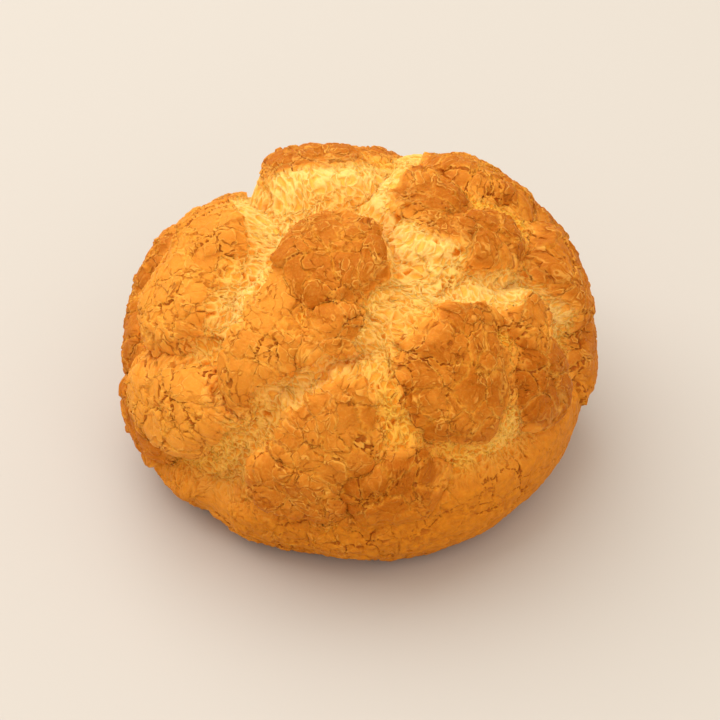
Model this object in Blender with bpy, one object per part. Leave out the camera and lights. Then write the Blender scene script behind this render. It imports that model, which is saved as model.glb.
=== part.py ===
"""A whole cream puff: a choux bun baked to a cracked, lumpy dome on a flat foot, uncut, so one solid.

Metres, +Z up. The origin is under the middle of the puff's width and depth, on the surface it stands on.
Bearings are degrees round +Z, 0 at the front (-Y) and 90 at the right (+X). A rise is degrees above the
horizontal, both as seen from the puff's heart, the point that every radius starts from.
"""

import itertools
from collections import namedtuple

import bmesh
import bpy
import numpy as np

# Driving dimensions of the plain dome, before it swells into lumps.
WIDTH = 0.0850
HEIGHT = 0.0530
HEART_HEIGHT = 0.34 * HEIGHT  # also the height of the widest line
TOP_FULLNESS = 2.25  # the exponent of a superellipse: 2 is an ellipse, more is squarer
FOOT_FULLNESS = 2.5
FOOT_DEPTH = 1.34 * HEART_HEIGHT  # how far the lower half would reach if the tray didn't flatten it
FOOT_ROUNDING = 0.0008

# How the dough splits and swells.
SEAM_DEPTH = 0.0038  # of the pale seams between lumps, below the plain dome
STEEPNESS = 6  # of a lump's sides
MERGE = 5  # how sharply two lumps meet
SKIRT_LIFT = 0.0002  # of the smooth band round the foot, over the plain dome
SKIRT_RISE = -10.0  # of the band's top edge, on average
SKIRT_LEAN = 12.0  # how much higher than that the edge is at its highest bearing
SKIRT_BEARING = 58.0  # where the edge is highest
SKIRT_FADE = 8.0  # degrees over which the band rises from the seams
SKIRT_WAVE = 4.0  # how far the edge wanders from its slant
SKIRT_WAVE_SIZE = 0.45  # of a wave, in radians round the heart
WARP_SIZE = 0.010  # of the wander that makes the lumps and seams uneven
WARP_REACH = 0.0022
SWELL_SIZE = 0.026  # of the slow swell of the whole crust
SWELL_REACH = 0.0010
SEED = 7
NOISE_SPREAD = 1.5  # brings the noise's range to about -1 to 1

# The broad lobes and the raised lumps of crust on them. Length and width are across the whole lump and lift
# is its height over the plain dome, in millimetres. A lump of negative lift still stands over the seams. Turn
# is how far its length leans from level, anticlockwise as seen from outside.
Lump = namedtuple("Lump", "name bearing rise length width turn lift")
LUMPS = (
    Lump("left_lobe", -75, 40, 34, 19, -40, -0.8),
    Lump("front_lobe", 5, 16, 30, 22, 80, -1.0),
    Lump("right_lobe", 50, 30, 32, 26, 60, -0.9),
    Lump("far_lobe", 96, 56, 38, 22, -42, -0.7),
    Lump("top_lobe", -12, 58, 24, 32, 10, -1.0),
    Lump("crown", -16, 69, 21, 22, 5, 1.6),
    Lump("crown_brow", -4, 46, 15, 11, 12, 1.1),
    Lump("left_shoulder", -86, 48, 20, 15, -32, 1.3),
    Lump("left_side", -67, 33, 19, 18, -46, 1.4),
    Lump("left_cheek", -28, 36, 20, 12, 66, 1.0),
    Lump("left_bridge", -36, 50, 13, 12, 30, 0.2),
    Lump("left_front", -51, 13, 28, 17, 25, 1.3),
    Lump("left_foot", -67, -4, 22, 14, 8, 0.2),
    Lump("front", -5, 19, 22, 16, 70, 1.5),
    Lump("front_tip", -2, 29, 9, 9, 60, 0.8),
    Lump("front_low", 12, 7, 18, 13, -12, 1.4),
    Lump("front_corner", -11, 5, 19, 13, -20, 1.3),
    Lump("front_foot", 20, -16, 44, 18, 0, 0.3),
    Lump("right_front", 33, 31, 23, 19, 84, 1.6),
    Lump("right_brow", 47, 43, 13, 8, -36, 0.9),
    Lump("right_knuckle", 27, 43, 8, 6, 2, 0.2),
    Lump("right_upper", 67, 33, 13, 12, 75, 1.2),
    Lump("right_side", 60, 18, 17, 16, 80, 1.2),
    Lump("right_back", 97, 26, 21, 17, 32, 2.0),
    Lump("back_knuckle", 116, 71, 16, 16, 42, 1.2),
    Lump("back_right", 82, 53, 17, 14, -54, 1.5),
    Lump("back_right_low", 72, 65, 13, 11, -50, 0.7),
    Lump("back_shoulder", 127, 45, 22, 17, 44, 1.9),
    Lump("back_crown", -145, 64, 25, 17, -38, 1.3),
    Lump("back_left", -123, 22, 24, 21, 10, -2.3),
    Lump("back_left_side", -104, 20, 15, 15, 0, -0.8),
    Lump("back_low_left", -92, 7, 24, 17, -12, -0.6),
    Lump("back_middle", -171, 31, 25, 27, 80, -0.9),
    Lump("back_low", -152, 5, 34, 18, 4, -1.1),
    Lump("back_low_right", 162, 12, 28, 20, -16, 1.0),
    Lump("back_high_right", 147, 38, 21, 17, 35, -0.5),
    Lump("far_right", 127, 19, 28, 21, 12, 1.5),
    Lump("right_low", 97, 3, 26, 17, -8, 0.9),
)

# The deepest seams, where the dough tore widest. A path is bearings and rises; width and depth are in
# millimetres, and the depth is below the other seams.
Seam = namedtuple("Seam", "name width depth path")
SEAMS = (
    Seam("left", 3.4, 1.9, ((-110, 54), (-89, 64), (-62, 63), (-51, 54), (-45, 42))),
    Seam("notch", 5.6, 3.3, ((-154, 12), (-140, 30), (-124, 44), (-110, 54))),
    Seam("left_low", 3.2, 1.1, ((-60, 20), (-52, 27), (-46, 34), (-38, 25), (-30, 20))),
    Seam("main_back", 2.4, 0.2, ((160, 28), (160, 46), (156, 62), (118, 78), (62, 76), (50, 70))),
    Seam("main_top", 4.0, 1.7, ((50, 70), (36, 59), (18, 50), (3, 39), (-8, 35), (-16, 27))),
    Seam("main_low", 4.0, 1.7, ((-16, 27), (-23, 18), (-27, 7), (-33, -7), (-40, -22))),
    Seam("right", 2.8, 0.8, ((36, 59), (50, 49), (64, 44), (76, 38), (80, 22))),
    Seam("behind_crown", 3.4, 0.8, ((-90, 63), (-90, 74), (-120, 86), (60, 81), (50, 70))),
    Seam("over_skirt", 2.6, 0.7, ((80, 8), (60, 8), (42, 8), (28, 11), (19, 18), (10, 25))),
    Seam("right_dip", 5.0, 0.3, ((44, 11), (57, 11), (70, 14))),
    Seam("back", 3.0, 1.3, ((166, 28), (-178, 14), (176, -6))),
    Seam("back_right", 2.8, 1.0, ((166, 28), (150, 30), (140, 24), (108, 22), (100, 14))),
    Seam("back_left", 2.8, 1.0, ((-138, 30), (-140, 18), (-128, 10), (-126, -2))),
)

CELLS_PER_SIDE = 32  # of the cube that the dome is blown up from
SOFTENING_PASSES = 3  # each moves the points halfway to their neighbours, to round the seams' floors


def gradient_noise(points, seed):
    """Smooth noise of about -1 to 1 whose features are one unit across."""
    rng = np.random.default_rng(seed)
    order = rng.permutation(256)
    slopes = rng.normal(size=(256, 3))
    slopes /= np.linalg.norm(slopes, axis=1, keepdims=True)
    cell = np.floor(points).astype(int)
    inside = points - cell
    fade = inside**3 * (inside * (inside * 6 - 15) + 10)
    total = np.zeros(len(points))
    for corner in itertools.product((0, 1), repeat=3):
        x, y, z = (cell + corner).T % 256
        slope = slopes[order[(order[(order[x] + y) % 256] + z) % 256]]
        weight = np.prod(np.where(corner, fade, 1 - fade), axis=1)
        total += weight * ((inside - corner) * slope).sum(axis=1)
    return total * NOISE_SPREAD


def direction(bearing, rise):
    """The unit vector from the heart at this bearing and rise, in degrees."""
    b, r = np.radians(bearing), np.radians(rise)
    return np.array([np.sin(b) * np.cos(r), -np.cos(b) * np.cos(r), np.sin(r)])


def dome_radius(ways):
    """Metres from the heart to the plain dome along each unit vector."""
    across = np.hypot(ways[:, 0], ways[:, 1]) / (WIDTH / 2)
    above = ways[:, 2] >= 0
    fullness = np.where(above, TOP_FULLNESS, FOOT_FULLNESS)
    reach = np.where(above, HEIGHT - HEART_HEIGHT, FOOT_DEPTH)
    return (across**fullness + (np.abs(ways[:, 2]) / reach) ** fullness) ** (-1 / fullness)


def lump_height(lump, places, warp):
    """The lump's height over the seams at each place, a point of the plain dome relative to the heart."""
    middle = direction(lump.bearing, lump.rise)
    level = direction(lump.bearing + 90, 0)
    upward = np.cross(middle, level)
    turn = np.radians(lump.turn)
    along = level * np.cos(turn) + upward * np.sin(turn)
    aside = upward * np.cos(turn) - level * np.sin(turn)
    apart = places + warp - middle * dome_radius(middle[None])
    share = np.sqrt(
        (apart @ along / (lump.length / 2000)) ** 2
        + (apart @ aside / (lump.width / 2000)) ** 2
        + (apart @ middle / (lump.width / 2000)) ** 2
    )
    return (lump.lift / 1000 + SEAM_DEPTH) / (1 + share**STEEPNESS)


def seam_depth(seam, places):
    """How far the seam sinks each place, from its distance to the seam's path."""
    path = np.array([direction(*stop) for stop in seam.path])
    path *= dome_radius(path)[:, None]
    nearest = np.full(len(places), np.inf)
    for start, end in itertools.pairwise(path):
        step = end - start
        share = np.clip((places - start) @ step / (step @ step), 0, 1)
        apart = places - start - share[:, None] * step
        nearest = np.minimum(nearest, np.linalg.norm(apart, axis=1))
    return seam.depth / 1000 * np.exp(-((nearest / (seam.width / 1000)) ** 2))


def skirt_height(ways):
    """The smooth band's height over the seams: full below a wavy line, then fading out above it."""
    rise = np.degrees(np.arcsin(ways[:, 2]))
    lean = ways @ direction(SKIRT_BEARING, 0)
    line = SKIRT_RISE + SKIRT_LEAN * lean + SKIRT_WAVE * gradient_noise(ways / SKIRT_WAVE_SIZE, SEED + 5)
    below = np.clip((line + SKIRT_FADE - rise) / SKIRT_FADE, 0, 1)
    return (SKIRT_LIFT + SEAM_DEPTH) * below * below * (3 - 2 * below)


def relief(ways):
    """Metres that the crust stands out from the plain dome along each unit vector."""
    places = ways * dome_radius(ways)[:, None]
    warp = WARP_REACH * np.stack(
        [gradient_noise(places / WARP_SIZE, SEED + axis) for axis in range(3)], axis=1
    )
    heights = [lump_height(lump, places, warp) for lump in LUMPS] + [skirt_height(ways)]
    merged = sum(height**MERGE for height in heights) ** (1 / MERGE)
    sunk = sum(seam_depth(seam, places + warp) ** MERGE for seam in SEAMS) ** (1 / MERGE)
    swell = SWELL_REACH * gradient_noise(places / SWELL_SIZE, SEED + 3)
    return merged - SEAM_DEPTH - sunk + swell


def crust_points(ways):
    """The crust's points, with the foot pressed flat on the tray at z = 0."""
    radius = dome_radius(ways) + relief(ways)
    height = HEART_HEIGHT + ways[:, 2] * radius
    pressed = np.clip(height + FOOT_ROUNDING, 0, None) ** 2 / (4 * FOOT_ROUNDING)
    pressed = np.where(height < FOOT_ROUNDING, pressed, height)
    down = height < FOOT_ROUNDING
    radius[down] = (pressed[down] - HEART_HEIGHT) / ways[down, 2]
    points = ways * radius[:, None]
    points[:, 2] += HEART_HEIGHT
    points[height < -FOOT_ROUNDING, 2] = 0
    return points


def blown_cube():
    """A closed mesh of a cube's even grid, and the unit vector of each of its points."""
    grid = bmesh.new()
    bmesh.ops.create_cube(grid, size=2)
    bmesh.ops.subdivide_edges(
        grid, edges=grid.edges[:], cuts=CELLS_PER_SIDE - 1, use_grid_fill=True
    )
    ways = np.tan(np.array([vertex.co for vertex in grid.verts]) * np.pi / 4)
    return grid, ways / np.linalg.norm(ways, axis=1, keepdims=True)


def centre_over_origin(grid):
    """Slide the mesh level so that the middles of its width and depth are over the origin."""
    points = np.array([vertex.co for vertex in grid.verts])
    middle = (points.min(axis=0) + points.max(axis=0)) / 2
    bmesh.ops.translate(grid, verts=grid.verts[:], vec=(-middle[0], -middle[1], 0))


def baked_crust():
    """The material: golden-brown, dry and a little waxy."""
    material = bpy.data.materials.new("baked_crust")
    material.use_nodes = True
    shader = material.node_tree.nodes["Principled BSDF"]
    shader.inputs["Base Color"].default_value = (0.72, 0.26, 0.035, 1)
    shader.inputs["Roughness"].default_value = 0.6
    shader.inputs["Metallic"].default_value = 0
    return material


def build_puff():
    """The one solid of the puff."""
    grid, ways = blown_cube()
    for vertex, point in zip(grid.verts, crust_points(ways)):
        vertex.co = point
    above = [vertex for vertex in grid.verts if vertex.co.z > FOOT_ROUNDING]
    for _ in range(SOFTENING_PASSES):
        bmesh.ops.smooth_vert(
            grid, verts=above, factor=0.5, use_axis_x=True, use_axis_y=True, use_axis_z=True
        )
    centre_over_origin(grid)
    foot = [face for face in grid.faces if max(vertex.co.z for vertex in face.verts) == 0]
    foot = bmesh.ops.dissolve_faces(grid, faces=foot)["region"]
    bmesh.ops.poke(grid, faces=foot)
    mesh = bpy.data.meshes.new("puff")
    grid.to_mesh(mesh)
    grid.free()
    mesh.shade_smooth()
    mesh.materials.append(baked_crust())
    puff = bpy.data.objects.new("puff", mesh)
    bpy.context.scene.collection.objects.link(puff)
    return puff


def clear_scene():
    for thing in list(bpy.data.objects):
        bpy.data.objects.remove(thing)


clear_scene()
build_puff()
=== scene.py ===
"""The cream puff's looks: one crust piece with its browned plates, stretched seams, cracks and pits.

The form follows part.py: a dome round a heart, swollen into lumps and sunk along seams. Bearings are degrees
round +Z, 0 at the front (-Y) and 90 at the right (+X). A rise is degrees above the horizontal, both seen from
the heart. The surface pattern is written once, as nodes, and used twice: to move the mesh and to colour it.
"""

import itertools
from collections import namedtuple

import bpy
import numpy as np
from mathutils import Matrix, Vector


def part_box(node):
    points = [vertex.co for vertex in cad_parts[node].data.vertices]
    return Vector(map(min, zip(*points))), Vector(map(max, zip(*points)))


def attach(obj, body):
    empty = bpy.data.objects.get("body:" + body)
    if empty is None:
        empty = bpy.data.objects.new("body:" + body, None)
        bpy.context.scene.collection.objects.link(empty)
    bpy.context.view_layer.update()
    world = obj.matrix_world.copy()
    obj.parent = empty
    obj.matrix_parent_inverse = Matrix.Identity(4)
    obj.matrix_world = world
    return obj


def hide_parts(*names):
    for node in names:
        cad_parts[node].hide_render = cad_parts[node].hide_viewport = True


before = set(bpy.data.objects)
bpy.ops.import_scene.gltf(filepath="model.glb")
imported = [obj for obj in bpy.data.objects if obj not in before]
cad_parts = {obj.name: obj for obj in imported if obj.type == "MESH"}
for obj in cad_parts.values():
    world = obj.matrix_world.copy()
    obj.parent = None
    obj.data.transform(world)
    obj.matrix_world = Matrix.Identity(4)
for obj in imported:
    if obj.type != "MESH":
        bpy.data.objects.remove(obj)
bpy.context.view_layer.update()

# The plain dome, in metres, as in part.py. The lumps are steeper than there, where the mesh is coarser.
WIDTH = 0.0850
HEIGHT = 0.0530
HEART_HEIGHT = 0.34 * HEIGHT
TOP_FULLNESS = 2.25
FOOT_FULLNESS = 2.5
FOOT_DEPTH = 1.34 * HEART_HEIGHT
FOOT_ROUNDING = 0.0008
SEAM_DEPTH = 0.0038
STEEPNESS = 9
MERGE = 5
SKIRT_LIFT = 0.0002
SKIRT_RISE = -10.0
SKIRT_LEAN = 12.0
SKIRT_BEARING = 58.0
SKIRT_FADE = 8.0
SKIRT_WAVE = 4.0
SKIRT_WAVE_SIZE = 0.45
WARP_SIZE = 0.010
WARP_REACH = 0.0022
FRAY_SIZE = 0.0032  # frays the lumps' edges, in the looks alone
FRAY_REACH = 0.0009
SWELL_SIZE = 0.026
SWELL_REACH = 0.0010
SEED = 7
NOISE_SPREAD = 1.5

# Lumps and seams as in part.py, with one more value each: how brown a lump's crust is, where 0 is a bare lobe
# and 1 or more is brown all over, and how pale a seam is, from 0 to 1. A lump's brown value is partly its own
# browning and partly painted light and shade: lumps in the light, chiefly on the left, are paler, low ones in
# shade darker.
Lump = namedtuple("Lump", "name bearing rise length width turn lift brown")
LUMPS = (
    Lump("left_lobe", -75, 40, 34, 19, -40, -0.8, 0),
    Lump("front_lobe", 5, 16, 30, 22, 80, -1.0, 0),
    Lump("right_lobe", 50, 30, 32, 26, 60, -0.9, 0),
    Lump("far_lobe", 96, 56, 38, 22, -42, -0.7, 0),
    Lump("top_lobe", -12, 58, 24, 32, 10, -1.0, 0),
    Lump("crown", -16, 69, 21, 22, 5, 1.6, 0.85),
    Lump("crown_brow", -4, 46, 15, 11, 12, 1.1, 0.8),
    Lump("left_shoulder", -86, 48, 20, 15, -32, 1.3, 0.2),
    Lump("left_side", -67, 33, 19, 18, -46, 1.4, 0.1),
    Lump("left_cheek", -28, 36, 20, 12, 66, 1.0, 0.25),
    Lump("left_bridge", -36, 50, 13, 12, 30, 0.2, 0.1),
    Lump("left_front", -51, 13, 28, 17, 25, 1.3, 0.05),
    Lump("left_foot", -67, -4, 22, 14, 8, 0.2, 1.2),
    Lump("front", -5, 19, 22, 16, 70, 1.5, 0.5),
    Lump("front_tip", -2, 29, 9, 9, 60, 0.8, 0.45),
    Lump("front_low", 12, 7, 18, 13, -12, 1.4, 1.6),
    Lump("front_corner", -11, 5, 19, 13, -20, 1.3, 0.9),
    Lump("front_foot", 20, -16, 44, 18, 0, 0.3, 0),
    Lump("right_front", 33, 31, 23, 19, 84, 1.6, 1.0),
    Lump("right_brow", 47, 43, 13, 8, -36, 0.9, 0.75),
    Lump("right_knuckle", 27, 43, 8, 6, 2, 0.2, 0.6),
    Lump("right_upper", 67, 33, 13, 12, 75, 1.2, 0.5),
    Lump("right_side", 60, 18, 17, 16, 80, 1.2, 1.8),
    Lump("right_back", 97, 26, 21, 17, 32, 2.0, 0.8),
    Lump("back_knuckle", 116, 71, 16, 16, 42, 1.2, 0.9),
    Lump("back_right", 82, 53, 17, 14, -54, 1.5, 1.0),
    Lump("back_right_low", 72, 65, 13, 11, -50, 0.7, 0.8),
    Lump("back_shoulder", 127, 45, 22, 17, 44, 1.9, 0.85),
    Lump("back_crown", -145, 64, 25, 17, -38, 1.3, 0.9),
    Lump("back_left", -123, 22, 24, 21, 10, -2.3, 0.5),
    Lump("back_left_side", -104, 20, 15, 15, 0, -0.8, 0.7),
    Lump("back_low_left", -92, 7, 24, 17, -12, -0.6, 0.8),
    Lump("back_middle", -171, 31, 25, 27, 80, -0.9, 0.85),
    Lump("back_low", -152, 5, 34, 18, 4, -1.1, 0.7),
    Lump("back_low_right", 162, 12, 28, 20, -16, 1.0, 0.85),
    Lump("back_high_right", 147, 38, 21, 17, 35, -0.5, 0.8),
    Lump("far_right", 127, 19, 28, 21, 12, 1.5, 0.9),
    Lump("right_low", 97, 3, 26, 17, -8, 0.9, 0.8),
)
Seam = namedtuple("Seam", "name width depth pale path")  # pale: from 0, golden, to 1, yellow
SEAMS = (
    Seam("left", 3.4, 1.9, 1.0, ((-110, 54), (-89, 64), (-62, 63), (-51, 54), (-45, 42))),
    Seam("notch", 5.6, 3.3, 0.8, ((-154, 12), (-140, 30), (-124, 44), (-110, 54))),
    Seam("left_low", 3.2, 1.1, 0.4, ((-60, 20), (-52, 27), (-46, 34), (-38, 25), (-30, 20))),
    Seam("main_back", 2.4, 0.2, 0.8, ((160, 28), (160, 46), (156, 62), (118, 78), (62, 76), (50, 70))),
    Seam("main_top", 4.0, 1.7, 0.65, ((50, 70), (36, 59), (18, 50), (3, 39), (-8, 35), (-16, 27))),
    Seam("main_low", 4.0, 1.7, 0.4, ((-16, 27), (-23, 18), (-27, 7), (-33, -7), (-40, -22))),
    Seam("right", 2.8, 0.8, 1.0, ((36, 59), (50, 49), (64, 44), (76, 38), (80, 22))),
    Seam("behind_crown", 3.4, 0.8, 1.0, ((-90, 63), (-90, 74), (-120, 86), (60, 81), (50, 70))),
    Seam("over_skirt", 2.6, 0.7, 0.1, ((80, 8), (60, 8), (42, 8), (28, 11), (19, 18), (10, 25))),
    Seam("right_dip", 5.0, 0.3, 0.4, ((44, 11), (57, 11), (70, 14))),
    Seam("back", 3.0, 1.3, 0.7, ((166, 28), (-178, 14), (176, -6))),
    Seam("back_right", 2.8, 1.0, 0.5, ((166, 28), (150, 30), (140, 24), (108, 22), (100, 14))),
    Seam("back_left", 2.8, 1.0, 0.6, ((-138, 30), (-140, 18), (-128, 10), (-126, -2))),
    # Bare golden sides, with no depth of their own.
    Seam("left_face", 2.2, 0, 0.85, ((-93, 61), (-66, 59), (-54, 53), (-49, 46), (-44, 40))),
    Seam("back_crown_face", 3.0, 0, 0.95, ((-112, 64), (-138, 71), (-165, 75), (168, 75))),
    Seam("knuckle_face", 2.6, 0, 1.0, ((160, 70), (135, 80), (70, 80), (56, 68), (58, 59))),
)
PALE_SPREAD = 1.7  # how far the paleness reaches, in seam widths
PLATE_FAR = 9  # millimetres inside or outside a plate's edge, beyond which no more is counted
PLATE_GROWTH = 1.2  # millimetres that the plates reach past their lumps
PALE_CLEARANCE = 7  # millimetres that a wholly pale seam pushes them back
PLATE_WAVE_SIZE = 4.5
SMOOTH_FROM = (0.6, 0.95)  # cosines of the bearing from SKIRT_BEARING, where the skirt turns smooth
SMOOTH_SHARE = (0.3, 1)  # how smooth the skirt is there

# The mesh.
CELLS_PER_SIDE = 300
CRUST_FACES = 196_000
FIBRE_SQUEEZE = 0.6  # how short the pattern is across a seam, so that its cells come out long there
FIBRE_NEAR = 0.5  # in seam widths from the seam's path
FIBRE_FAR = 1.3
BOX_GAP = 0.00005  # metres that the crust stays inside the solid's box
CHART_MARGIN = 0.004  # of a map chart's width, kept clear round it
SLAB, CHIP, WEB = 4.8, 2.1, 1.15  # millimetres: cells of the plates, of the finer chips and of the web
LOW_SHADE_FROM, LOW_SHADE_TO = -13.0, 7.0  # millimetres above the heart: painted shade, below, turns the crust towards the plates' brown, seams most of all; none above
FOOT_FROM, FOOT_TO = -17.5, -14.0  # millimetres above the heart: the crust is the foot's dark brown below, and not at all above
RELIEF_FROM, RELIEF_TO = 0.0002, 0.003  # metres above the floor: the relief is none below, and whole above
MM = 0.001


def gradient_noise(points, seed):
    """Smooth noise of about -1 to 1 whose features are one unit across."""
    rng = np.random.default_rng(seed)
    order = rng.permutation(256)
    slopes = rng.normal(size=(256, 3))
    slopes /= np.linalg.norm(slopes, axis=1, keepdims=True)
    cell = np.floor(points).astype(int)
    inside = points - cell
    fade = inside**3 * (inside * (inside * 6 - 15) + 10)
    total = np.zeros(len(points))
    for corner in itertools.product((0, 1), repeat=3):
        x, y, z = (cell + corner).T % 256
        slope = slopes[order[(order[(order[x] + y) % 256] + z) % 256]]
        weight = np.prod(np.where(corner, fade, 1 - fade), axis=1)
        total += weight * ((inside - corner) * slope).sum(axis=1)
    return total * NOISE_SPREAD


def direction(bearing, rise):
    """The unit vector from the heart at this bearing and rise, in degrees."""
    b, r = np.radians(bearing), np.radians(rise)
    return np.array([np.sin(b) * np.cos(r), -np.cos(b) * np.cos(r), np.sin(r)])


def dome_radius(ways):
    """Metres from the heart to the plain dome along each unit vector."""
    across = np.hypot(ways[:, 0], ways[:, 1]) / (WIDTH / 2)
    above = ways[:, 2] >= 0
    fullness = np.where(above, TOP_FULLNESS, FOOT_FULLNESS)
    reach = np.where(above, HEIGHT - HEART_HEIGHT, FOOT_DEPTH)
    return (across**fullness + (np.abs(ways[:, 2]) / reach) ** fullness) ** (-1 / fullness)


def lump_share(lump, places):
    """How far each place is from the lump's middle: 1 is its edge."""
    middle = direction(lump.bearing, lump.rise)
    level = direction(lump.bearing + 90, 0)
    upward = np.cross(middle, level)
    turn = np.radians(lump.turn)
    along = level * np.cos(turn) + upward * np.sin(turn)
    aside = upward * np.cos(turn) - level * np.sin(turn)
    apart = places - middle * dome_radius(middle[None])
    # A length or width in millimetres, over 2000, is its half in metres.
    return np.sqrt(
        (apart @ along / (lump.length / 2000)) ** 2
        + (apart @ aside / (lump.width / 2000)) ** 2
        + (apart @ middle / (lump.width / 2000)) ** 2
    )


def nearest_on_seam(seam, places):
    """Each place's nearest point of the seam's path, and how far off it is."""
    path = np.array([direction(*stop) for stop in seam.path])
    path *= dome_radius(path)[:, None]
    best = np.full(len(places), np.inf)
    nearest = np.zeros_like(places)
    for start, end in itertools.pairwise(path):
        step = end - start
        share = np.clip((places - start) @ step / (step @ step), 0, 1)
        point = start + share[:, None] * step
        apart = np.linalg.norm(places - point, axis=1)
        closer = apart < best
        best[closer] = apart[closer]
        nearest[closer] = point[closer]
    return nearest, best


def skirt_share(ways):
    """1 on the smooth band round the foot, fading to 0 above its wavy top edge."""
    rise = np.degrees(np.arcsin(ways[:, 2]))
    lean = ways @ direction(SKIRT_BEARING, 0)
    wave = SKIRT_WAVE * gradient_noise(ways / SKIRT_WAVE_SIZE, SEED + 5)
    below = np.clip((SKIRT_RISE + SKIRT_LEAN * lean + wave + SKIRT_FADE - rise) / SKIRT_FADE, 0, 1)
    return below * below * (3 - 2 * below)


def crust_form(ways):
    """The crust's points before the fine pattern, and what the pattern needs to know at each of them."""
    places = ways * dome_radius(ways)[:, None]
    warp = np.stack([
        WARP_REACH * gradient_noise(places / WARP_SIZE, SEED + axis)
        + FRAY_REACH * gradient_noise(places / FRAY_SIZE, SEED + 20 + axis)
        for axis in range(3)
    ], axis=1)
    shares = [lump_share(lump, places + warp) for lump in LUMPS]
    skirt = skirt_share(ways)
    merged = ((SKIRT_LIFT + SEAM_DEPTH) * skirt) ** MERGE
    for lump, share in zip(LUMPS, shares):
        merged += ((lump.lift * MM + SEAM_DEPTH) / (1 + share**STEEPNESS)) ** MERGE
    plump = merged ** (1 / MERGE)
    sunk = 0
    pale = np.zeros(len(places))
    flow = np.zeros_like(places)
    closest = np.full(len(places), np.inf)
    for seam in SEAMS:
        nearest, apart = nearest_on_seam(seam, places + warp)
        sunk += (seam.depth * MM * np.exp(-((apart / (seam.width * MM)) ** 2))) ** MERGE
        pale = np.maximum(pale, seam.pale * np.exp(-((apart / (PALE_SPREAD * seam.width * MM)) ** 2)))
        closer = apart / seam.width < closest
        closest[closer] = (apart / seam.width)[closer]
        flow[closer] = nearest[closer]
    squeeze = np.interp(closest / MM, (FIBRE_NEAR, FIBRE_FAR), (FIBRE_SQUEEZE, 1))
    swell = SWELL_REACH * gradient_noise(places / SWELL_SIZE, SEED + 3)
    radius = dome_radius(ways) + plump - SEAM_DEPTH - sunk ** (1 / MERGE) + swell

    plate = np.full(len(places), -np.inf)
    weights = np.zeros(len(places))
    brown = np.zeros(len(places))
    for lump, share in zip(LUMPS, shares):
        if lump.brown:
            inside = (1 - share) * lump.width / 2
            plate = np.maximum(plate, inside)
            weight = np.exp(inside)
            weights += weight
            brown += weight * lump.brown

    def patches(size, seed, low, high):
        """0 to 1 in soft patches of this size in millimetres: 0 where the noise is under low, 1 over high."""
        share = np.clip((gradient_noise(places / (size * MM), SEED + seed) - low) / (high - low), 0, 1)
        return share * share * (3 - 2 * share)

    wave = gradient_noise(places / (PLATE_WAVE_SIZE * MM), SEED + 11)
    fields = {
        "place": places / MM,
        "flow": (flow + squeeze[:, None] * (places + warp - flow)) / MM,
        "plate": np.clip(plate, -PLATE_FAR, PLATE_FAR) + PLATE_GROWTH - PALE_CLEARANCE * pale**2 + wave,
        "brown": brown / weights,
        "skirt": skirt,
        "smooth": skirt * np.interp(ways @ direction(SKIRT_BEARING, 0), SMOOTH_FROM, SMOOTH_SHARE),
        "pale": pale,
        "cracked": patches(6.5, 12, 0.0, 0.4),
        "scaly": patches(2.4, 13, -0.1, 0.35),
        "pitted": patches(2.2, 15, 0.0, 0.5),
        "porous": patches(2.6, 16, 0.1, 0.4),
        "patchy": patches(7.0, 17, -0.4, 0.4),
        "rugged": gradient_noise(places / (2.0 * MM), SEED + 18),
    }
    return press_foot(ways, radius), fields


def press_foot(ways, radius):
    """The points at these radii, with the foot pressed flat at z = 0."""
    height = HEART_HEIGHT + ways[:, 2] * radius
    down = height < FOOT_ROUNDING
    pressed = np.clip(height[down] + FOOT_ROUNDING, 0, None) ** 2 / (4 * FOOT_ROUNDING)
    radius[down] = (pressed - HEART_HEIGHT) / ways[down, 2]
    points = ways * radius[:, None]
    points[:, 2] += HEART_HEIGHT
    points[height < -FOOT_ROUNDING, 2] = 0
    return points


def blown_cube(cells):
    """A cube's even grid blown up to a ball: unit vectors, quads, and each quad corner's place on a map."""
    steps = np.arange(cells + 1)
    across, up = np.meshgrid(steps, steps, indexing="ij")
    keys, quads, charts = [], [], []
    corners = np.array([(0, 0), (1, 0), (1, 1), (0, 1)])
    low = np.stack(np.meshgrid(steps[:-1], steps[:-1], indexing="ij"), -1).reshape(-1, 1, 2) + corners
    for side, (axis, level) in enumerate(itertools.product(range(3), (0, cells))):
        spot = np.zeros((cells + 1, cells + 1, 3), int)
        spot[..., axis] = level
        spot[..., (axis + 1) % 3] = across
        spot[..., (axis + 2) % 3] = up
        keys.append(spot.reshape(-1, 3))
        faces = low[..., 0] * (cells + 1) + low[..., 1]
        chart = (low / cells * (1 - 2 * CHART_MARGIN) + CHART_MARGIN + (side % 3, side // 3)) / (3, 2)
        if level == 0:
            faces = faces[:, ::-1]
            chart = chart[:, ::-1]
        quads.append(faces + side * (cells + 1) ** 2)
        charts.append(chart)
    spots, first = np.unique(np.concatenate(keys), axis=0, return_inverse=True)
    ways = np.tan((spots / cells * 2 - 1) * np.pi / 4)
    ways /= np.linalg.norm(ways, axis=1, keepdims=True)
    return ways, first.reshape(-1)[np.concatenate(quads)], np.concatenate(charts)


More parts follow.
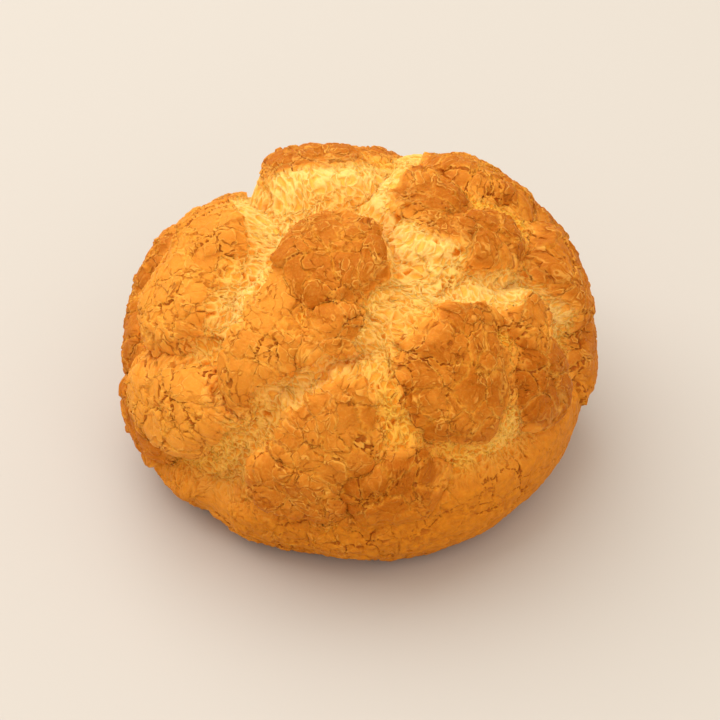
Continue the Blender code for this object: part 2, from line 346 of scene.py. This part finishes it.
class Graph:
    """Short names for adding nodes to a tree, for a material or for geometry. Sizes are in millimetres."""

    def __init__(self, tree):
        self.tree = tree

    def add(self, kind, *values, **settings):
        """A node with these settings. The values go to its inputs in order: None leaves an input as it is."""
        node = self.tree.nodes.new(kind)
        for name, value in settings.items():
            setattr(node, name, value)
        sockets = [socket for socket in node.inputs if socket.enabled]
        for socket, value in zip(sockets, values):
            if isinstance(value, bpy.types.NodeSocket):
                self.tree.links.new(value, socket)
            elif value is not None:
                socket.default_value = value
        return node

    def math(self, operation, *values):
        return self.add("ShaderNodeMath", *values, operation=operation).outputs[0]

    def sum(self, *values):
        total = values[0]
        for value in values[1:]:
            total = self.math("ADD", total, value)
        return total

    def product(self, *values):
        total = values[0]
        for value in values[1:]:
            total = self.math("MULTIPLY", total, value)
        return total

    def off(self, value):
        """1 minus the value."""
        return self.math("SUBTRACT", 1.0, value)

    def scaled(self, vector, factor):
        node = self.add("ShaderNodeVectorMath", vector, operation="SCALE")
        scale = node.inputs["Scale"]
        if isinstance(factor, bpy.types.NodeSocket):
            self.tree.links.new(factor, scale)
        else:
            scale.default_value = factor
        return node.outputs[0]

    def moved(self, vector, other):
        return self.add("ShaderNodeVectorMath", vector, other, operation="ADD").outputs[0]

    def step(self, value, low, high):
        """0 at low and 1 at high, eased."""
        node = self.add("ShaderNodeMapRange", value, low, high, 0.0, 1.0, interpolation_type="SMOOTHSTEP")
        return node.outputs[0]

    def between(self, value, low, high, at_low, at_high):
        return self.add("ShaderNodeMapRange", value, low, high, at_low, at_high).outputs[0]

    def spread(self, share, at_none, at_all):
        """From a share of 0 to 1: at_none where it is 0, at_all where it is 1."""
        return self.between(share, 0.0, 1.0, at_none, at_all)

    def noise(self, place, size, detail=2.0, roughness=0.5):
        """Noise of 0 to 1 with features of this size."""
        return self.noise_node(place, size, detail, roughness).outputs[0]

    def noise_node(self, place, size, detail=2.0, roughness=0.5):
        node = self.add("ShaderNodeTexNoise")
        self.tree.links.new(place, node.inputs["Vector"])
        node.inputs["Scale"].default_value = 1 / size
        node.inputs["Detail"].default_value = detail
        node.inputs["Roughness"].default_value = roughness
        return node

    def wander(self, place, size, reach, detail=2.0):
        """The place moved about by up to about this reach."""
        colour = self.noise_node(place, size, detail).outputs[1]
        centred = self.add("ShaderNodeVectorMath", colour, (0.5, 0.5, 0.5), operation="SUBTRACT").outputs[0]
        return self.moved(place, self.scaled(centred, 2 * reach))

    def cells(self, place, size, feature):
        node = self.add("ShaderNodeTexVoronoi", feature=feature)
        self.tree.links.new(place, node.inputs["Vector"])
        node.inputs["Scale"].default_value = 1 / size
        return node

    def rim_distance(self, place, size):
        """Millimetres to the edge of the nearest cell."""
        return self.product(self.cells(place, size, "DISTANCE_TO_EDGE").outputs["Distance"], size)

    def cell_value(self, place, size):
        """One number of 0 to 1 for each cell."""
        colour = self.cells(place, size, "F1").outputs["Color"]
        return self.add("ShaderNodeSeparateXYZ", colour).outputs[0]

    def mix(self, share, first, second):
        node = self.tree.nodes.new("ShaderNodeMix")
        node.data_type = "RGBA"
        for socket, value in zip((node.inputs[0], node.inputs[6], node.inputs[7]), (share, first, second)):
            if isinstance(value, bpy.types.NodeSocket):
                self.tree.links.new(value, socket)
            else:
                socket.default_value = value
        return node.outputs[2]


def crust_pattern(graph):
    """The crust's fine pattern: shares of 0 to 1 for each look, and heights in millimetres."""
    g = graph
    place, flow = (attribute(g, name, "FLOAT_VECTOR") for name in ("place", "flow"))
    plate, skirt, smooth, pale, cracked, scaly, pitted, porous, rugged = (
        attribute(g, name, "FLOAT")
        for name in ("plate", "skirt", "smooth", "pale", "cracked", "scaly", "pitted", "porous", "rugged")
    )
    warped = g.wander(flow, 2.6, 0.8)
    jagged = g.wander(warped, 0.7, 0.22, 0.0)

    # Browned plates. Whole slabs and chips of crust belong to a plate or don't, so its edge is scalloped.
    slab = g.cell_value(jagged, SLAB)
    slab_gap = g.rim_distance(jagged, SLAB)
    chip = g.cell_value(jagged, CHIP)
    chip_gap = g.rim_distance(jagged, CHIP)
    teeth = g.between(g.noise(flow, 0.9, 0.0), 0.3, 0.7, -0.4, 0.4)
    inside = g.sum(plate, teeth, g.spread(slab, -0.5, 0.5), g.spread(chip, -0.5, 0.5))
    cliff = g.step(inside, -0.15, 0.2)
    browned = g.math("MAXIMUM", cliff, skirt)
    bare = g.off(browned)
    singed = g.sum(g.product(g.step(inside, -2.0, 1.2), 0.25), g.product(g.step(inside, -0.15, 0.25), 0.75))
    baked = g.math("MAXIMUM", singed, skirt)
    crisp = g.product(browned, g.off(g.product(smooth, 0.9)))

    # Slabs meet in grooves, in places with a dark crack. A fine, dotted dark line runs round slabs and chips:
    # partly their dark joints and partly painted shade in the gaps.
    broken = g.step(g.noise(flow, 0.55, 0.0), 0.43, 0.53)
    groove = g.product(g.off(g.step(slab_gap, 0.0, 0.5)), crisp)
    crack = g.product(g.off(g.step(slab_gap, 0.07, 0.2)), browned, broken, g.spread(cracked, 0.3, 1.0))
    gap = g.math("MINIMUM", slab_gap, chip_gap)
    dotted = g.product(g.spread(scaly, 0.25, 1.0), g.spread(broken, 0.5, 1.0))
    line = g.product(g.off(g.step(gap, 0.02, 0.18)), crisp, dotted)
    split = g.product(g.off(g.step(chip_gap, 0.03, 0.14)), crisp, porous, broken)

    # Pale lips: rims round the raised chips, the brinks of the plates, and thin wrinkles of the skin. Their
    # paleness is partly paler crust and partly painted highlight where the edges catch the light.
    plain = g.off(g.product(smooth, 0.7))
    curly = g.step(g.noise(jagged, 1.2, 0.0), 0.45, 0.6)
    raised = g.step(g.sum(chip, g.product(slab, 0.5)), 0.65, 0.95)
    rim = g.product(g.step(gap, 0.05, 0.13), g.off(g.step(gap, 0.22, 0.34)), raised, crisp)
    brink = g.product(g.step(inside, -0.05, 0.1), g.off(g.step(inside, 0.15, 0.4)))
    rims = g.math("MAXIMUM", g.product(rim, g.spread(curly, 0.15, 0.7)), g.product(brink, 0.7))
    curls = g.add("ShaderNodeSeparateXYZ", g.noise_node(jagged, 1.3, 0.6).outputs[1])
    from_middle = [g.math("ABSOLUTE", g.math("SUBTRACT", curl, 0.5)) for curl in curls.outputs]
    first_arc, second_arc, third_arc = (g.off(g.step(apart, 0.004, 0.024)) for apart in from_middle)
    curled = g.math("MAXIMUM", first_arc, g.product(second_arc, g.spread(scaly, 1.0, 0.3)))
    wrinkles = g.product(g.math("MAXIMUM", curled, g.product(third_arc, scaly)), g.spread(browned, 0.5, 0.12))
    lips = g.product(g.math("MAXIMUM", rims, wrinkles), plain)

    # Bare dough: a web of stretched ridges with hollows between them, some of them deep. The deep hollows are
    # coloured darker amber, partly the dough's own colour and partly painted shade.
    web = g.wander(jagged, 1.6, 0.5, 0.0)
    web_gap = g.rim_distance(web, WEB)
    deep = g.step(g.cell_value(web, WEB), 0.45, 0.6)
    ridges = g.off(g.step(web_gap, 0.02, 0.3))
    pits = g.product(g.step(web_gap, 0.12, 0.36), deep, pitted)
    # Pores: small dark holes in the browned crust, their darkness partly painted shade.
    pores = g.product(g.step(web_gap, 0.26, 0.38), deep, porous, browned)

    lumpy = g.noise(place, 0.9, 1.0)
    height = g.sum(
        g.product(cliff, 1.0),
        g.product(g.spread(slab, -0.32, 0.32), crisp),
        g.product(g.spread(chip, -0.22, 0.22), g.off(smooth)),
        g.product(groove, -0.22),
        g.product(crack, -0.25),
        g.product(line, -0.16),
        g.product(lips, 0.1),
        g.product(bare, ridges, 0.4),
        g.product(bare, pits, -0.65),
        g.product(pores, -0.3),
        g.product(rugged, g.off(g.product(browned, 0.4)), 0.3),
        g.spread(lumpy, -0.22, 0.22),
    )
    grain = g.noise(place, 0.4, 3.0, 0.65)
    fine = g.sum(
        g.product(crack, -0.16),
        g.product(split, -0.12),
        g.product(line, -0.12),
        g.product(lips, 0.12),
        g.product(bare, ridges, 0.18),
        g.product(pores, -0.25),
        g.product(grain, 0.16),
    )
    return {
        "place": place, "plate": plate, "skirt": skirt, "pale": pale, "baked": baked, "slab": slab,
        "groove": groove, "crack": crack, "line": line, "split": split, "lips": lips, "ridges": ridges,
        "pits": pits, "pores": pores, "grain": grain, "height": height, "fine": fine,
    }


def attribute(graph, name, kind):
    """A mesh attribute's socket, in a geometry tree or a material tree."""
    if graph.tree.bl_idname == "GeometryNodeTree":
        node = graph.add("GeometryNodeInputNamedAttribute", data_type=kind)
        node.inputs["Name"].default_value = name
        return next(socket for socket in node.outputs if socket.enabled)
    node = graph.add("ShaderNodeAttribute", attribute_name=name)
    return node.outputs["Vector" if kind == "FLOAT_VECTOR" else "Fac"]


def relief_tree():
    """Geometry nodes that move the crust out by the pattern's height, less towards the flat foot."""
    tree = bpy.data.node_groups.new("crust_relief", "GeometryNodeTree")
    tree.interface.new_socket("Geometry", in_out="INPUT", socket_type="NodeSocketGeometry")
    tree.interface.new_socket("Geometry", in_out="OUTPUT", socket_type="NodeSocketGeometry")
    g = Graph(tree)
    start = g.add("NodeGroupInput")
    end = g.add("NodeGroupOutput")
    rise = g.add("ShaderNodeSeparateXYZ", g.add("GeometryNodeInputPosition").outputs[0]).outputs[2]
    free = g.step(rise, RELIEF_FROM, RELIEF_TO)
    height = g.product(crust_pattern(g)["height"], free, MM)
    offset = g.scaled(g.add("GeometryNodeInputNormal").outputs[0], height)
    move = g.add("GeometryNodeSetPosition")
    tree.links.new(start.outputs[0], move.inputs["Geometry"])
    tree.links.new(offset, move.inputs["Offset"])
    tree.links.new(move.outputs[0], end.inputs[0])
    return tree


def crust_mesh():
    """The crust as one closed mesh, with its pattern's attributes and its map."""
    ways, quads, charts = blown_cube(CELLS_PER_SIDE)
    points, fields = crust_form(ways)
    mesh = bpy.data.meshes.new("crust_rough")
    mesh.from_pydata(points, [], quads.tolist())
    for name, values in fields.items():
        if values.ndim == 2:
            layer = mesh.attributes.new(name, "FLOAT_VECTOR", "POINT")
            layer.data.foreach_set("vector", values.astype(np.float32).ravel())
        else:
            layer = mesh.attributes.new(name, "FLOAT", "POINT")
            layer.data.foreach_set("value", values.astype(np.float32))
    chart_layer = mesh.uv_layers.new(name="OFBake")
    chart_layer.uv.foreach_set("vector", charts.astype(np.float32).ravel())
    rough = bpy.data.objects.new("crust_rough", mesh)
    bpy.context.scene.collection.objects.link(rough)
    relief = rough.modifiers.new("relief", "NODES")
    relief.node_group = relief_tree()
    thin = rough.modifiers.new("thin", "DECIMATE")
    thin.ratio = min(1, CRUST_FACES / (2 * len(quads)))
    evaluated = rough.evaluated_get(bpy.context.evaluated_depsgraph_get())
    final = bpy.data.meshes.new_from_object(evaluated)
    bpy.data.objects.remove(rough)
    fit_to_box(final)
    final.shade_smooth()
    return final


def fit_to_box(mesh):
    """Stretch the mesh by the last per cent, so that it fills the solid's box from just inside."""
    points = np.empty(len(mesh.vertices) * 3, np.float32)
    mesh.vertices.foreach_get("co", points)
    points = points.reshape(-1, 3)
    low, high = (np.array(corner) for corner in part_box("puff"))
    low[:2] += BOX_GAP
    high -= BOX_GAP
    own_low, own_high = points.min(axis=0), points.max(axis=0)
    points = low + (points - own_low) * (high - low) / (own_high - own_low)
    mesh.vertices.foreach_set("co", points.astype(np.float32).ravel())
    mesh.update()


def colour(red, green, blue):
    """A colour of 0 to 255 as shown on a screen, as the shader wants it."""
    shown = np.array([red, green, blue]) / 255
    linear = np.where(shown <= 0.04045, shown / 12.92, ((shown + 0.055) / 1.055) ** 2.4)
    return (*linear, 1.0)


PLATE = colour(203, 114, 19)
PLATE_DEEP = colour(180, 95, 4)
PLATE_LIGHT = colour(234, 151, 50)
GOLD = colour(240, 153, 32)
GOLD_RIDGE = colour(253, 182, 64)
# Pit colours: darker amber, partly the dough's own colour and partly painted shade in the hollows.
GOLD_PIT_AND_SHADE = colour(222, 122, 14)
SEAM = colour(255, 190, 80)
SEAM_RIDGE = colour(255, 208, 122)
SEAM_PIT_AND_SHADE = colour(238, 142, 30)
# Pale crust of the lips and specks, also standing for painted highlight at the lips.
LIP_AND_HIGHLIGHT = colour(253, 188, 86)
CRACK = colour(166, 78, 10)
SKIRT = colour(220, 132, 18)
FOOT = colour(168, 84, 14)


def crust_material():
    material = bpy.data.materials.new("baked_crust")
    material.use_nodes = True
    tree = material.node_tree
    g = Graph(tree)
    p = crust_pattern(g)
    brown = attribute(g, "brown", "FLOAT")
    patchy = attribute(g, "patchy", "FLOAT")
    mottled = g.noise(p["place"], 1.3, 1.0, 0.5)

    dark = g.step(
        g.sum(
            g.product(g.step(p["plate"], -0.5, 2.5), 0.5),
            g.product(p["slab"], 0.1),
            g.product(patchy, 0.25),
            g.product(mottled, 0.2),
        ),
        0.12,
        0.98,
    )
    # Each plate's tone follows its lump's brown value, so it carries painted light on lumps in the light and
    # painted shade on the low ones.
    plate = g.mix(g.product(dark, g.spread(brown, 0.1, 1.0)), PLATE_LIGHT, PLATE)
    plate = g.mix(g.product(g.step(dark, 0.4, 1.0), brown), plate, PLATE_DEEP)
    gold = g.mix(p["ridges"], GOLD, GOLD_RIDGE)
    # Pits darker, partly painted shade in the hollows.
    gold = g.mix(p["pits"], gold, GOLD_PIT_AND_SHADE)
    seam = g.mix(p["ridges"], SEAM, SEAM_RIDGE)
    seam = g.mix(p["pits"], seam, SEAM_PIT_AND_SHADE)
    shade = g.mix(p["pale"], gold, seam)
    shade = g.mix(g.product(p["baked"], g.off(g.product(p["groove"], 0.4))), shade, plate)
    band = g.mix(g.step(mottled, 0.1, 1.0), SKIRT, PLATE_DEEP)
    shade = g.mix(g.product(p["skirt"], g.off(p["pale"]), 0.9), shade, band)
    shade = g.mix(g.product(g.step(p["grain"], 0.48, 0.7), 0.14), shade, LIP_AND_HIGHLIGHT)
    lit = g.product(g.spread(p["baked"], 0.75, 0.6), g.between(brown, 0.9, 1.6, 1.0, 0.45))
    # Pale lips, partly paler crust and partly painted highlight; fewer on the low lumps that stand in shade.
    shade = g.mix(g.product(p["lips"], lit), shade, LIP_AND_HIGHLIGHT)
    # Dark lines round slabs and chips, partly dark joints and partly painted shade in the gaps.
    shade = g.mix(g.product(p["line"], 0.55), shade, PLATE_DEEP)
    shade = g.mix(g.product(p["split"], 0.35), shade, CRACK)
    # Dark pores, partly painted shade in the holes.
    shade = g.mix(g.product(p["pores"], 0.6), shade, CRACK)
    shade = g.mix(g.product(p["crack"], 0.85), shade, CRACK)
    rise = g.add("ShaderNodeSeparateXYZ", p["place"]).outputs[2]
    # Painted shade: low down, where the lamps reach less, the crust turns towards the plates' brown.
    shade = g.mix(g.product(g.off(g.step(rise, LOW_SHADE_FROM, LOW_SHADE_TO)), g.off(p["skirt"]), 0.9), shade, PLATE)
    shade = g.mix(g.off(g.step(rise, FOOT_FROM, FOOT_TO)), shade, FOOT)

    shader = tree.nodes["Principled BSDF"]
    tree.links.new(shade, shader.inputs["Base Color"])
    tree.links.new(g.between(p["grain"], 0.3, 0.7, 0.5, 0.68), shader.inputs["Roughness"])
    shader.inputs["Specular IOR Level"].default_value = 0.1
    shader.inputs["Subsurface Weight"].default_value = 0.25
    shader.inputs["Subsurface Radius"].default_value = (1.0, 0.5, 0.12)
    shader.inputs["Subsurface Scale"].default_value = 0.0014
    bump = g.add("ShaderNodeBump")
    bump.inputs["Strength"].default_value = 1.0
    bump.inputs["Distance"].default_value = MM
    tree.links.new(p["fine"], bump.inputs["Height"])
    tree.links.new(bump.outputs[0], shader.inputs["Normal"])
    return material


def crust():
    mesh = crust_mesh()
    mesh.materials.clear()
    mesh.materials.append(crust_material())
    piece = bpy.data.objects.new("crust", mesh)
    bpy.context.scene.collection.objects.link(piece)
    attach(piece, "root")
    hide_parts("puff")


# The studio: a pale floor, one large soft lamp high on the left behind the puff, and a weak one before it.
VIEW_BEARING = 3.5
VIEW_RISE = 41.0
VIEW_DISTANCE = 0.612
VIEW_LENS = 170  # millimetres, so that the puff fills about two thirds of the picture
VIEW_TARGET = (0.0, 0.0, 0.018)
FLOOR_SIZE = 3.0
FLOOR_COLOUR = colour(196, 190, 185)
SKY_COLOUR = (1.0, 0.92, 0.76, 1)
SKY_STRENGTH = 0.92


def studio():
    bpy.ops.mesh.primitive_plane_add(size=FLOOR_SIZE)
    floor = bpy.context.object
    floor.name = "floor"
    material = bpy.data.materials.new("pale_floor")
    material.use_nodes = True
    shader = material.node_tree.nodes["Principled BSDF"]
    shader.inputs["Base Color"].default_value = FLOOR_COLOUR
    shader.inputs["Roughness"].default_value = 0.7
    floor.data.materials.append(material)

    world = bpy.data.worlds.new("studio")
    world.use_nodes = True
    background = world.node_tree.nodes["Background"]
    background.inputs["Color"].default_value = SKY_COLOUR
    background.inputs["Strength"].default_value = SKY_STRENGTH
    bpy.context.scene.world = world
    soft_lamp("key", (-0.34, 0.26, 0.78), size=1.2, power=7.7)
    soft_lamp("fill", (0.25, -0.7, 0.6), size=0.8, power=1.75)

    camera = bpy.data.objects.new("camera", bpy.data.cameras.new("camera"))
    bpy.context.scene.collection.objects.link(camera)
    camera.data.lens = VIEW_LENS
    camera.data.clip_start = 0.01
    away = Vector(direction(VIEW_BEARING, VIEW_RISE)) * VIEW_DISTANCE
    camera.location = away
    camera.rotation_euler = (Vector(VIEW_TARGET) - away).to_track_quat("-Z", "Y").to_euler()
    bpy.context.scene.camera = camera
    bpy.context.scene.view_settings.view_transform = "Standard"


def soft_lamp(name, place, size, power):
    """A square lamp this many metres wide and of this many watts, aimed at the puff."""
    lamp = bpy.data.lights.new(name, "AREA")
    lamp.size = size
    lamp.energy = power
    holder = bpy.data.objects.new(name, lamp)
    bpy.context.scene.collection.objects.link(holder)
    holder.location = place
    holder.rotation_euler = (Vector(VIEW_TARGET) - Vector(place)).to_track_quat("-Z", "Y").to_euler()


crust()
studio()
